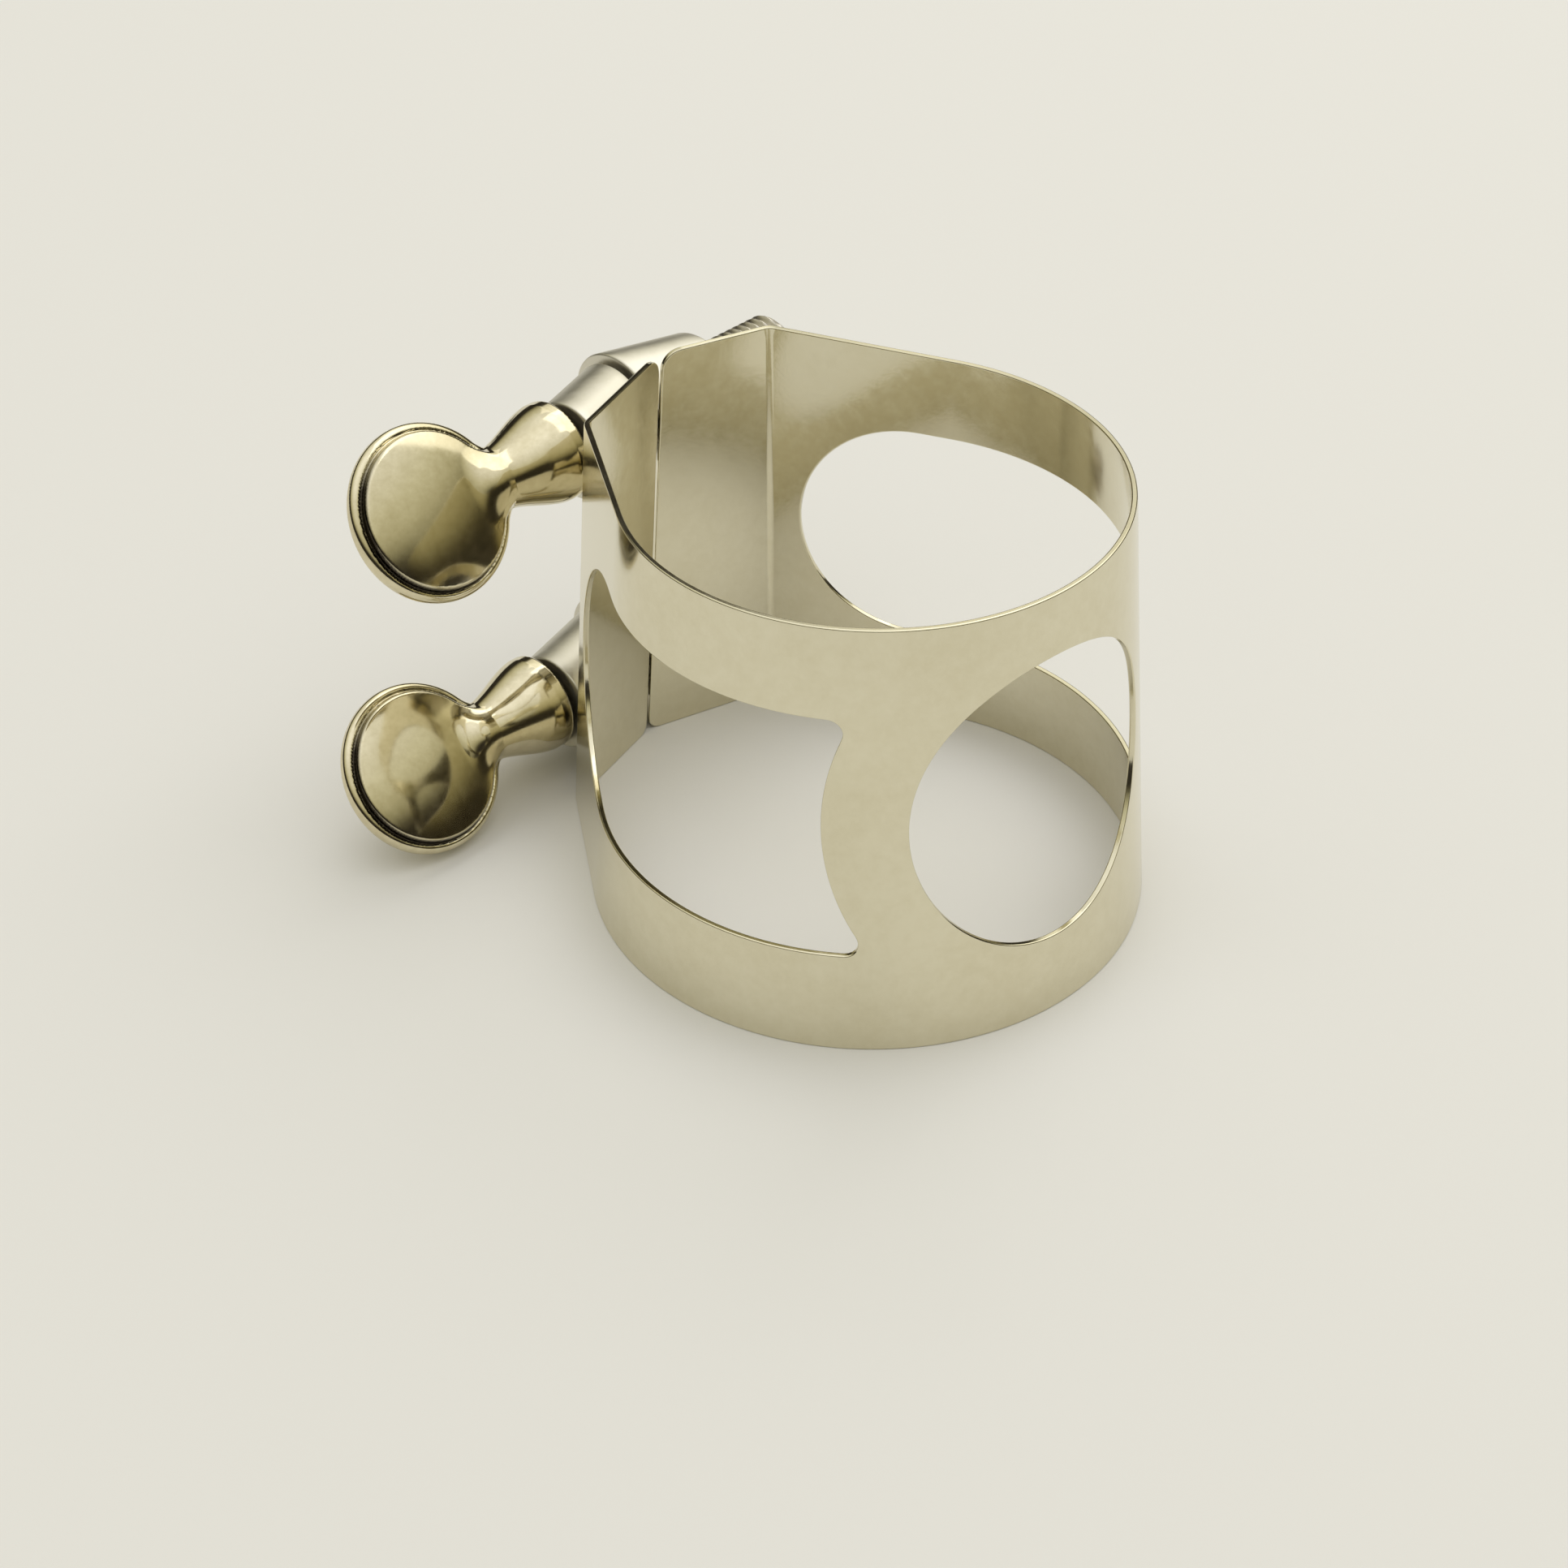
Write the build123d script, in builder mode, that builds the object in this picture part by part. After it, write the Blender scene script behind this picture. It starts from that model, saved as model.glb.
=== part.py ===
"""Two-screw saxophone ligature: a conical sheet band in two wings, four barrels and two thumbscrews.

Row frame: origin on the tube's axis in the plane of the wide rim, +X along the screws from head to tip,
+Y towards the reed flats and the gap between the wings, +Z towards the narrow rim. Millimetres and degrees.
"""

import os
from math import acos, atan2, cos, hypot, pi, radians, sin, sqrt, tan

from build123d import *

# ---- the band: one tapered sheet, closed at the crown (-Y) and open at the reed flats (+Y)
HEIGHT = 22.9
SHEET = 0.3
CROWN_RADIUS = (14.0, 12.24)  # outer radius at the wide rim and at the narrow rim
# The reed flats are bent by hand, so each wing has its own: 1 is the +X wing, -1 the -X wing.
CORNER_X = {1: (7.76, 7.29), -1: (6.5, 5.78)}  # where a side would meet its flat, were the bend sharp
CORNER_Y = {1: (14.47, 14.03), -1: (14.85, 13.7)}
PEAK_Y = {1: (16.74, 16.52), -1: (16.59, 15.59)}  # where a flat would cross the tube's middle plane
BEND_RADIUS = 0.8
GAP = 0.2  # between the inner edges of the wings
GAP_SHIFT = (0.2, 1.38)  # of the gap's middle towards +X, which leans over to the narrow rim
GAP_CORNER = (0.5, 1.3)  # rounding of the sheet's corners beside the gap
CROWN_SEAM = 0.02  # between the two wing solids, where the real sheet runs through and flexes

# ---- the windows, laid out on the flattened sheet
RING_TURN = radians(-5.27)  # the round window's centre, from the crown line towards the thumbscrew side
RING_Z = 12.0
RING_RADIUS = 7.75
RING_WIDTH = 4.05  # of the ring of sheet left around the round window
SIDE_LOW_Z = 5.4
SIDE_HIGH_Z = 18.2
SIDE_END_TURN = {1: radians(121.8), -1: radians(126.2)}  # centre of a side window's round end
SIDE_CORNER = 0.7

# ---- barrels, screws and solder, as pairs for the lower and the upper screw
LEVELS = ("lower", "upper")
SCREW_Y = (18.45, 18.3)
SCREW_Z = (3.85, 18.5)
HEAD_X = (-13.7, -11.9)  # centre of each thumb plate
BARREL_RADIUS = {1: 2.85, -1: 2.6}  # threaded, plain
PLAIN_SHORT = 0.15  # a plain barrel stops this far before the middle of the gap
THREADED_START = 0.2  # and a threaded one starts this far after it
THREADED_LENGTH = 4.6
SOLDER_FILM = 0.05
SOLDER_HALF_WIDTH = 1.65
SOLDER_SHARE = 0.72  # of that half width where the solder meets the barrel
SOLDER_RISE = 0.42
SOLDER_END = 0.15  # the solder stops this far short of each end of a barrel
SHANK_RADIUS = 1.5  # M3 thread
THREAD_PITCH = 0.5
BORE_RADIUS = 1.75
OPEN_TURNS = 4.0  # of the lower screw, from the shown position to fully open
SEAT_CLEARANCE = 0.05  # between a screw's shoulder and its plain barrel

# ---- thumbscrews: a round thumb plate and a flared neck in one casting, on a threaded shank
SHOULDER_X = 8.6  # from the plate's centre
TIP_X = 24.3
TIP_CONE = 0.8
TIP_RADIUS = 0.75
SOCKET_DEPTH = 2.6
NECK_RADIUS = 1.65  # at the plate's edge
SHOULDER_RADIUS = 2.6
SHOULDER_LENGTH = 0.8
NECK_FLARE = 0.12  # how far the flare hollows in from a straight cone
NECK_NOSE = 2.2  # how far the neck runs into the plate
PLATE_TILT = (51.0, 55.5)  # of each plate's face from level, towards the crown side
PLATE_RADIUS = 4.45
FLANGE = 0.9
FLANGE_ROUND = 0.3
PAD_RADIUS = 3.9
PAD_STEP = 0.45
PAD_ROUND = 0.25
PAD_CROWN = 0.35
BACK_CROWN = 0.4

PARTS = "parts"


def at(pair, z):
    """A dimension given at the wide and the narrow rim, at height z."""
    return pair[0] + (pair[1] - pair[0]) * z / HEIGHT


def flat_lean(side, z):
    """How steeply a wing's reed flat climbs to the gap at height z."""
    return atan2(at(PEAK_Y[side], z) - at(CORNER_Y[side], z), at(CORNER_X[side], z))


def flat_y(side, x, z):
    """The outer face of a wing's reed flat at (x, z)."""
    return at(PEAK_Y[side], z) - side * x * tan(flat_lean(side, z))


def tangent_turn(side, z):
    """The angle from the wing's own X direction at which its straight side leaves the crown's circle."""
    corner_x = at(CORNER_X[side], z)
    corner_y = at(CORNER_Y[side], z)
    return atan2(corner_y, corner_x) - acos(at(CROWN_RADIUS, z) / hypot(corner_x, corner_y))


def side_point(side, arc, z):
    """A wing's outer face this far round from the crown line at height z, with x counted to its own side."""
    radius = at(CROWN_RADIUS, z)
    tangent = tangent_turn(side, z)
    round_length = radius * (tangent + pi / 2)
    turn = min(arc, round_length) / radius - pi / 2
    straight = max(arc - round_length, 0.0)
    x = radius * cos(turn) - straight * sin(tangent)
    y = radius * sin(turn) + straight * cos(tangent)
    return x, y


def window_point(side, turn, across, z):
    """As side_point, for a point this far across from the sheet's own line at that turn."""
    return side_point(side, turn * at(CROWN_RADIUS, z) + across, z)


def inward(point, angle):
    """The point one sheet thickness in from a point of the outer face whose normal stands at this angle."""
    return point[0] - SHEET * cos(angle), point[1] - SHEET * sin(angle)


def wing_section(side, z):
    """The sheet's section at height z, as a sketch: side is 1 for the +X wing, -1 for the -X wing."""
    radius = at(CROWN_RADIUS, z)
    side_normal = tangent_turn(side, z)
    flat_normal = pi / 2 - flat_lean(side, z)
    corner = (at(CORNER_X[side], z), at(CORNER_Y[side], z))
    reach = BEND_RADIUS * tan((flat_normal - side_normal) / 2)
    along_side = (-sin(side_normal), cos(side_normal))
    along_flat = (-sin(flat_normal), cos(flat_normal))
    start_turn = -pi / 2 + CROWN_SEAM / 2 / radius
    start = (radius * cos(start_turn), radius * sin(start_turn))
    tangent = (radius * cos(side_normal), radius * sin(side_normal))
    bend_start = (corner[0] - reach * along_side[0], corner[1] - reach * along_side[1])
    bend_end = (corner[0] + reach * along_flat[0], corner[1] + reach * along_flat[1])
    edge_x = GAP / 2 + SHEET * cos(flat_normal) + side * at(GAP_SHIFT, z)
    edge = (edge_x, flat_y(side, side * edge_x, z))
    bend_centre = (
        bend_start[0] - BEND_RADIUS * cos(side_normal),
        bend_start[1] - BEND_RADIUS * sin(side_normal),
    )
    middle = (start_turn + side_normal) / 2
    bend_middle = (side_normal + flat_normal) / 2

    def crown(r):
        return side * r * cos(middle), r * sin(middle)

    def bend(r):
        return (
            side * (bend_centre[0] + r * cos(bend_middle)),
            bend_centre[1] + r * sin(bend_middle),
        )

    def flip(point):
        return side * point[0], point[1]

    inner = [
        flip(inward(start, start_turn)),
        flip(inward(tangent, side_normal)),
        flip(inward(bend_start, side_normal)),
        flip(inward(bend_end, flat_normal)),
        flip(inward(edge, flat_normal)),
    ]
    outer = [flip(p) for p in (start, tangent, bend_start, bend_end, edge)]
    with BuildSketch() as section:
        with BuildLine():
            ThreePointArc(outer[0], crown(radius), outer[1])
            Line(outer[1], outer[2])
            ThreePointArc(outer[2], bend(BEND_RADIUS), outer[3])
            Line(outer[3], outer[4])
            Line(outer[4], inner[4])
            Line(inner[4], inner[3])
            ThreePointArc(inner[3], bend(BEND_RADIUS - SHEET), inner[2])
            Line(inner[2], inner[1])
            ThreePointArc(inner[1], crown(radius - SHEET), inner[0])
            Line(inner[0], outer[0])
        make_face()
    return section.sketch


def round_window():
    """The crown's round window as a sketch, whose first axis is +X and second +Z."""
    points = []
    for step in range(24):
        angle = 2 * pi * step / 24
        z = RING_Z + RING_RADIUS * sin(angle)
        arc = RING_TURN * at(CROWN_RADIUS, z) + RING_RADIUS * cos(angle)
        side = 1 if arc > 0 else -1
        x, _ = side_point(side, abs(arc), z)
        points.append((side * x, z))
    with BuildSketch() as window:
        with BuildLine():
            Spline(*points, periodic=True)
        make_face()
    return window.sketch


def side_window(side):
    """A side window as a sketch, whose first axis is +Y and second +Z."""
    ring_turn = side * RING_TURN
    ring_outer = RING_RADIUS + RING_WIDTH
    middle = (SIDE_LOW_Z + SIDE_HIGH_Z) / 2
    half = (SIDE_HIGH_Z - SIDE_LOW_Z) / 2
    ring_points = []
    for step in range(7):
        z = SIDE_LOW_Z + 2 * half * step / 6
        across = sqrt(ring_outer**2 - (z - RING_Z) ** 2)
        ring_points.append((window_point(side, ring_turn, across, z)[1], z))
    end_points = []
    for step in range(9):
        angle = pi / 2 - pi * step / 8
        z = middle + half * sin(angle)
        end_points.append((window_point(side, SIDE_END_TURN[side], half * cos(angle), z)[1], z))
    with BuildSketch() as window:
        with BuildLine():
            Spline(*ring_points)
            Line(ring_points[-1], end_points[0])
            Spline(*end_points)
            Line(end_points[-1], ring_points[0])
        make_face()
        ring_y = (ring_points[0][0], ring_points[-1][0])
        corners = window.vertices().filter_by(lambda v: min(abs(v.X - y) for y in ring_y) < SHEET)
        fillet(corners, SIDE_CORNER)
    return window.sketch


def gap_corner(side, rim):
    """What the rounding takes off a wing's corner beside the gap: first axis +X, second +Z."""
    rim_z = rim * HEIGHT
    up = 1 - 2 * rim
    rounding = GAP_CORNER[rim]
    lean = atan2(GAP_SHIFT[1] - GAP_SHIFT[0], HEIGHT)
    centre_z = rim_z + up * rounding
    centre_x = at(GAP_SHIFT, centre_z) + side * (GAP / 2 + rounding / cos(lean))
    touch = (centre_x - side * rounding * cos(lean), centre_z + side * rounding * sin(lean))
    clear_x = touch[0] - side * rounding
    clear_z = rim_z - up * rounding
    with BuildSketch() as corner:
        with BuildLine():
            Polyline(touch, (clear_x, touch[1]), (clear_x, clear_z), (centre_x, clear_z), (centre_x, rim_z))
            ThreePointArc(
                (centre_x, rim_z),
                (centre_x - side * rounding / sqrt(2), centre_z - up * rounding / sqrt(2)),
                touch,
            )
        make_face()
    return corner.sketch


def make_wing(side):
    """One half of the band, with its share of the windows and its rounded corners at the gap."""
    with BuildPart() as wing:
        for z in (0.0, HEIGHT):
            with BuildSketch(Plane.XY.offset(z)):
                add(wing_section(side, z))
        loft(ruled=True)
        with BuildSketch(Plane.XZ):
            add(round_window())
        extrude(amount=2 * CROWN_RADIUS[0], mode=Mode.SUBTRACT)
        with BuildSketch(Plane.YZ):
            add(side_window(side))
        extrude(amount=side * 2 * CROWN_RADIUS[0], mode=Mode.SUBTRACT)
        for rim in (0, 1):
            with BuildSketch(Plane.XZ):
                add(gap_corner(side, rim))
            extrude(amount=-2 * CROWN_RADIUS[0], mode=Mode.SUBTRACT)
    return wing.part


def barrel_ends(side, level):
    """Where a barrel starts and ends along X: the +X wing has the threaded ones."""
    gap = at(GAP_SHIFT, SCREW_Z[level])
    if side > 0:
        return gap + THREADED_START, gap + THREADED_START + THREADED_LENGTH
    return HEAD_X[level] + SHOULDER_X + SEAT_CLEARANCE, gap - PLAIN_SHORT


def barrel_middle(side, level):
    """The middle of a barrel along X."""
    return sum(barrel_ends(side, level)) / 2


def barrel_y(side, level):
    """The middle of a barrel's axis, the barrel's radius and the solder film above its flat."""
    z = SCREW_Z[level]
    rise = (BARREL_RADIUS[side] + SOLDER_FILM) / cos(flat_lean(side, z))
    return flat_y(side, barrel_middle(side, level), z) + rise


def across_screw(x, y, z, turn=0.0):
    """A plane square to the screw's direction, or turned from it about Z, with its first axis up."""
    return Plane(origin=(x, y, z), x_dir=(0, 0, 1), z_dir=(cos(turn), sin(turn), 0))


def along_screw(x, level):
    """A plane through the screw's axis, with X along it and its second axis up."""
    return Plane(origin=(x, SCREW_Y[level], SCREW_Z[level]), x_dir=(1, 0, 0), z_dir=(0, -1, 0))


def barrel_frame(side, level):
    """A plane square to a barrel, which lies along its reed flat."""
    z = SCREW_Z[level]
    return across_screw(barrel_middle(side, level), barrel_y(side, level), z, -side * flat_lean(side, z))


def square_ends(side, level, trim):
    """Cuts the open part to a barrel's length, less a trim at each end, square to the screw."""
    start, end = barrel_ends(side, level)
    with Locations(((start + end) / 2, 0, 0)):
        Box(end - start - 2 * trim, 4 * HEIGHT, 4 * HEIGHT, mode=Mode.INTERSECT)


def flex_lever(level):
    """From the crown's flex line to the screw's axis."""
    return SCREW_Y[level] + at(CROWN_RADIUS, SCREW_Z[level])


def threaded_bore_frame(level):
    """Square to the threaded bore, which stands halfway between the wings' shut and fully open places."""
    opening = OPEN_TURNS * THREAD_PITCH / flex_lever(LEVELS.index("lower"))
    middle = barrel_middle(1, level)
    drop = flex_lever(level) * (1 - cos(opening)) + middle * sin(opening)
    return across_screw(middle, SCREW_Y[level] + drop / 2, SCREW_Z[level], opening / 2)


def make_barrel(side, level):
    """A barrel along its reed flat, dressed square at both ends and bored for the screw."""
    plain_bore_frame = across_screw(0, SCREW_Y[level], SCREW_Z[level])
    with BuildPart() as barrel:
        with BuildSketch(barrel_frame(side, level)):
            Circle(BARREL_RADIUS[side])
        extrude(amount=THREADED_LENGTH, both=True)
        square_ends(side, level, 0)
        with BuildSketch(threaded_bore_frame(level) if side > 0 else plain_bore_frame):
            Circle(BORE_RADIUS)
        extrude(amount=3 * THREADED_LENGTH, both=True, mode=Mode.SUBTRACT)
    return barrel.part


def make_solder(side, level, wing):
    """The solder that fills the wedge between a barrel and its flat."""
    frame = barrel_frame(side, level)
    foot = BARREL_RADIUS[side] + SOLDER_FILM
    half_top = SOLDER_SHARE * SOLDER_HALF_WIDTH
    with BuildPart() as solder:
        with BuildSketch(frame):
            with BuildLine():
                Polyline(
                    (-SOLDER_HALF_WIDTH, foot + SHEET / 2),
                    (-SOLDER_HALF_WIDTH, foot - SOLDER_FILM),
                    (-half_top, foot - SOLDER_RISE),
                    (half_top, foot - SOLDER_RISE),
                    (SOLDER_HALF_WIDTH, foot - SOLDER_FILM),
                    (SOLDER_HALF_WIDTH, foot + SHEET / 2),
                    close=True,
                )
            make_face()
        extrude(amount=THREADED_LENGTH, both=True)
        square_ends(side, level, SOLDER_END)
        with BuildSketch(frame):
            Circle(BARREL_RADIUS[side])
        extrude(amount=THREADED_LENGTH, both=True, mode=Mode.SUBTRACT)
        add(wing, mode=Mode.SUBTRACT)
    return solder.part


def dome_height(radius, rise, out):
    """How high a shallow spherical dome stands above its rim, at a distance out from its middle."""
    ball = (radius**2 + rise**2) / (2 * rise)
    return sqrt(ball**2 - out**2) - (ball - rise)


def make_head(level):
    """The cast thumb plate, with its raised pad and its flared neck, bored for the shank."""
    centre = Vector(HEAD_X[level], SCREW_Y[level], SCREW_Z[level])
    tilt = radians(PLATE_TILT[level])
    face = Vector(0, -sin(tilt), cos(tilt))
    half = FLANGE / 2
    edge = PLATE_RADIUS - FLANGE_ROUND
    pad_top = half + PAD_STEP
    pad_edge = PAD_RADIUS - PAD_ROUND
    neck_nose = PLATE_RADIUS - NECK_NOSE
    flare_end = SHOULDER_X - SHOULDER_LENGTH
    flare_middle = (PLATE_RADIUS + flare_end) / 2
    flare_radius = (NECK_RADIUS + SHOULDER_RADIUS) / 2 - NECK_FLARE
    with BuildPart() as head:
        with BuildSketch(Plane(origin=centre, x_dir=(1, 0, 0), z_dir=(0, -cos(tilt), -sin(tilt)))):
            with BuildLine():
                ThreePointArc(
                    (0, -half - BACK_CROWN),
                    (edge / 2, -half - dome_height(edge, BACK_CROWN, edge / 2)),
                    (edge, -half),
                )
                ThreePointArc((edge, -half), (PLATE_RADIUS, 0), (edge, half))
                Line((edge, half), (PAD_RADIUS, half))
                Line((PAD_RADIUS, half), (PAD_RADIUS, pad_top - PAD_ROUND))
                Line((PAD_RADIUS, pad_top - PAD_ROUND), (pad_edge, pad_top))
                ThreePointArc(
                    (pad_edge, pad_top),
                    (pad_edge / 2, pad_top + dome_height(pad_edge, PAD_CROWN, pad_edge / 2)),
                    (0, pad_top + PAD_CROWN),
                )
                Line((0, pad_top + PAD_CROWN), (0, -half - BACK_CROWN))
            make_face()
        revolve(axis=Axis(centre, face))
        with BuildSketch(along_screw(HEAD_X[level], level)):
            with BuildLine():
                Line((neck_nose, 0), (neck_nose + NECK_RADIUS / 2, 0.8 * NECK_RADIUS))
                Line((neck_nose + NECK_RADIUS / 2, 0.8 * NECK_RADIUS), (PLATE_RADIUS, NECK_RADIUS))
                ThreePointArc(
                    (PLATE_RADIUS, NECK_RADIUS),
                    (flare_middle, flare_radius),
                    (flare_end, SHOULDER_RADIUS),
                )
                Line((flare_end, SHOULDER_RADIUS), (SHOULDER_X, SHOULDER_RADIUS))
                Line((SHOULDER_X, SHOULDER_RADIUS), (SHOULDER_X, 0))
                Line((SHOULDER_X, 0), (neck_nose, 0))
            make_face()
        revolve(axis=Axis(centre, (1, 0, 0)))
        with BuildSketch(across_screw(HEAD_X[level] + SHOULDER_X, centre.Y, centre.Z)):
            Circle(SHANK_RADIUS)
        extrude(amount=-SOCKET_DEPTH, mode=Mode.SUBTRACT)
    return head.part


def make_shank(level):
    """The threaded shank, from the bottom of the head's socket to its coned tip."""
    tip_start = TIP_X - TIP_CONE
    with BuildPart() as shank:
        with BuildSketch(along_screw(HEAD_X[level], level)):
            with BuildLine():
                Polyline(
                    (SHOULDER_X - SOCKET_DEPTH, 0),
                    (SHOULDER_X - SOCKET_DEPTH, SHANK_RADIUS),
                    (tip_start, SHANK_RADIUS),
                    (TIP_X, TIP_RADIUS),
                    (TIP_X, 0),
                    close=True,
                )
            make_face()
        revolve(axis=Axis((HEAD_X[level], SCREW_Y[level], SCREW_Z[level]), (1, 0, 0)))
    return shank.part


def keep(piece, name):
    """Labels a finished piece and writes its STEP."""
    piece.label = name
    export_step(piece, f"{PARTS}/{name}.step")


os.makedirs(PARTS, exist_ok=True)
for side, wing_name, barrel_kind in ((-1, "band_left_wing", "plain"), (1, "band_right_wing", "threaded")):
    wing = make_wing(side)
    keep(wing, wing_name)
    for level, level_name in enumerate(LEVELS):
        keep(make_barrel(side, level), f"{level_name}_{barrel_kind}_barrel")
        keep(make_solder(side, level, wing), f"{level_name}_{barrel_kind}_solder")
for level, level_name in enumerate(LEVELS):
    keep(make_head(level), f"{level_name}_thumb_head")
    keep(make_shank(level), f"{level_name}_threaded_shank")
    print(level_name, "flex lever", round(flex_lever(level), 4))
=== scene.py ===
from math import cos, pi, radians, sin, tan
from types import SimpleNamespace

import bpy
import numpy as np
from mathutils import Matrix, Vector
from mathutils.geometry import delaunay_2d_cdt


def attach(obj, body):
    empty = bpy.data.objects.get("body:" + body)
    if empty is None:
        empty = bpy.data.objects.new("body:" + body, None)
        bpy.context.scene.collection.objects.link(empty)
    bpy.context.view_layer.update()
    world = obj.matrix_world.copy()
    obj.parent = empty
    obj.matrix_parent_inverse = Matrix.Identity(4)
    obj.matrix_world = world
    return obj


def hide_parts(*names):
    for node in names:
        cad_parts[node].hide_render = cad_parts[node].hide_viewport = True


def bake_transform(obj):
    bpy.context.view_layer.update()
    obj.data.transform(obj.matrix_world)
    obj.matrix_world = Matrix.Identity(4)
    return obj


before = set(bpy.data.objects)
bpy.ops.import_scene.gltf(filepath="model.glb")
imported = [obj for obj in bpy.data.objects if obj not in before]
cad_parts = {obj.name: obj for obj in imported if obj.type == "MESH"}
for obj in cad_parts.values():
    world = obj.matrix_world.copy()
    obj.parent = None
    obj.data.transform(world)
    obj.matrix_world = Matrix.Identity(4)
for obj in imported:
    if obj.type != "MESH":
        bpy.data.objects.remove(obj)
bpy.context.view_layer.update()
MM = 0.001

# ---- the band's shape, millimetres. A pair holds the values at the wide rim and at the narrow rim.
# ---- In a dictionary, 1 is the +X wing and -1 the -X wing.
HEIGHT = 22.9
SHEET = 0.3
CROWN_RADIUS = (14.0, 12.24)
CORNER_X = {1: (7.76, 7.29), -1: (6.5, 5.78)}
CORNER_Y = {1: (14.47, 14.03), -1: (14.85, 13.7)}
PEAK_Y = {1: (16.74, 16.52), -1: (16.59, 15.59)}
BEND_RADIUS = 0.8
GAP = 0.2
GAP_SHIFT = (0.2, 1.38)  # of its middle line to +X
GAP_CORNER = (0.5, 1.3)
EDGE_ROUND = 0.08

# ---- the windows: a round one on the crown, and one on each side
RING_TURN = radians(-5.27)  # round the crown, to -X
RING_Z = 12.0
RING_RADIUS = 7.75
RING_WIDTH = 4.05
SIDE_LOW_Z = 5.4
SIDE_HIGH_Z = 18.2
SIDE_END_TURN = {1: radians(121.8), -1: radians(126.2)}
SIDE_CORNER = 0.7

# ---- the spacing of the band's mesh
OUTLINE_STEP = 0.22
FIRST_ROW = 0.3
ROW_STEP = 0.45
ROW_CLEARANCE = 0.12  # of the points inside the sheet from its outlines
FLAT_WIDTH = 8.1  # a little more than the widest reed flat
SMALL_STEP = 0.004  # for slopes
UV_PER_MM = 0.01

# ---- screws and barrels. A pair holds the lower and the upper one.
# ---- SHOULDER_X and TIP_X are measured from the middle of the thumb head.
LEVELS = ("lower", "upper")
SCREW_Y = (18.45, 18.3)
SCREW_Z = (3.85, 18.5)
HEAD_X = (-13.7, -11.9)
BARREL_RADIUS = {1: 2.84, -1: 2.59}
BARREL_LIFT = 0.06  # between a barrel and its flat
BARREL_SOFT = 0.12  # the radius of a barrel's outer edge
SHOULDER_PLAY = 0.05  # between a head's shoulder and its barrel
PLAIN_SHORT = 0.15  # of the middle of the gap
THREADED_START = 0.2  # past the middle of the gap
THREADED_LENGTH = 4.6
BORE_RADIUS = 1.75
BORE_MOUTH = ((0.0, 0.15), (0.1, 0.04), (0.18, 0.0))  # how much wider than the bore, and how deep
SHANK_RADIUS = 1.5
UNDERCUT_RADIUS = 1.35  # the plain stretch under the head
UNDERCUT_LENGTH = 0.6
SHOULDER_X = 8.6
TIP_X = 24.3
TIP_RADIUS = 0.75
TIP_LENGTH = 0.8
PITCH = 0.5
THREAD_DEPTH = 0.28
OPEN_TURNS = 4.0

# ---- solder: the fillet's section under a barrel, and how it thins out at its ends
SOLDER_HALF = 1.6  # from the middle line to the toe
SOLDER_RUN = 0.62  # across, from the toe to the barrel
SOLDER_RISE = 0.41  # up, from the toe to the barrel
SOLDER_TOE = -0.02  # just inside the flat
SOLDER_BASE = -0.12
SOLDER_SHORT = 0.15  # of the barrel at each end
SOLDER_STEPS = 40
SOLDER_THIN = 0.55  # the share of its height that is left at an end
SOLDER_WAVES = ((0.035, 3.1), (0.02, 7.3))  # the height and the pace of each wave along the toes

# ---- thumb heads: a plate with a raised pad inside a groove, and a flared neck with a seat boss
PLATE_TILT = (radians(51.0), radians(55.5))
PLATE_RADIUS = 4.44
PLATE_HALF = 0.42  # half its thickness at the rim
PLATE_SOFT = 0.36  # the radius of its rounded rim
BACK_BALL = 24.0  # the radius of the domed back
BACK_DEPTH = 0.82
BACK_RADIUS = 4.1
PAD_BALL = 15.0  # the radius of the domed pad
PAD_TOP = 1.3
GROOVE_RADIUS = 4.0
GROOVE_HALF = 0.09  # half its width
GROOVE_LEVEL = 0.47  # above the middle of the plate
PAD_INSET = 0.07  # from the groove's middle to the pad's wall
# painted shade on the thumb heads: a near-black line in the groove, and the seat
SHADE_LINE_INSET = 0.04  # from the groove's middle to the middle of its painted shade line
SHADE_LINE_WIDTH = 0.08
NECK_START = 4.3
NECK_END = 7.7
NECK_SLIM = 1.6  # its radius at the plate
NECK_FLARE = 0.99  # how much wider it is at the shoulder
NECK_CUT = 2.6  # where it starts, inside the pad
SEAT_RADIUS = 2.0
SEAT_HEIGHT = 0.3
SEAT_ROOT = 7.4
HEAD_STEP = 0.1  # of the grid that the head's surface is traced on

# ---- plated metals: two tones, the smoothest roughness and its spread, grain relief and grain scale
METALS = {
    "band": ((0.765, 0.72, 0.555), (0.71, 0.66, 0.49), 0.1, 0.08, 0.1, 2600.0),
    "barrel": ((0.72, 0.69, 0.595), (0.65, 0.62, 0.52), 0.33, 0.1, 0.2, 2200.0),
    "head": ((0.755, 0.69, 0.50), (0.62, 0.555, 0.37), 0.08, 0.06, 0.05, 1800.0),
    "shank": ((0.66, 0.62, 0.54), (0.52, 0.48, 0.40), 0.22, 0.15, 0.2, 2400.0),
    "solder": ((0.66, 0.63, 0.56), (0.50, 0.47, 0.40), 0.3, 0.2, 0.5, 1500.0),
}
# near-black painted shade for the thumb heads' groove and seat
PAINTED_SHADE_COLOUR = (0.04, 0.033, 0.025)
BUMP_HEIGHT = 0.00002  # metres

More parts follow.
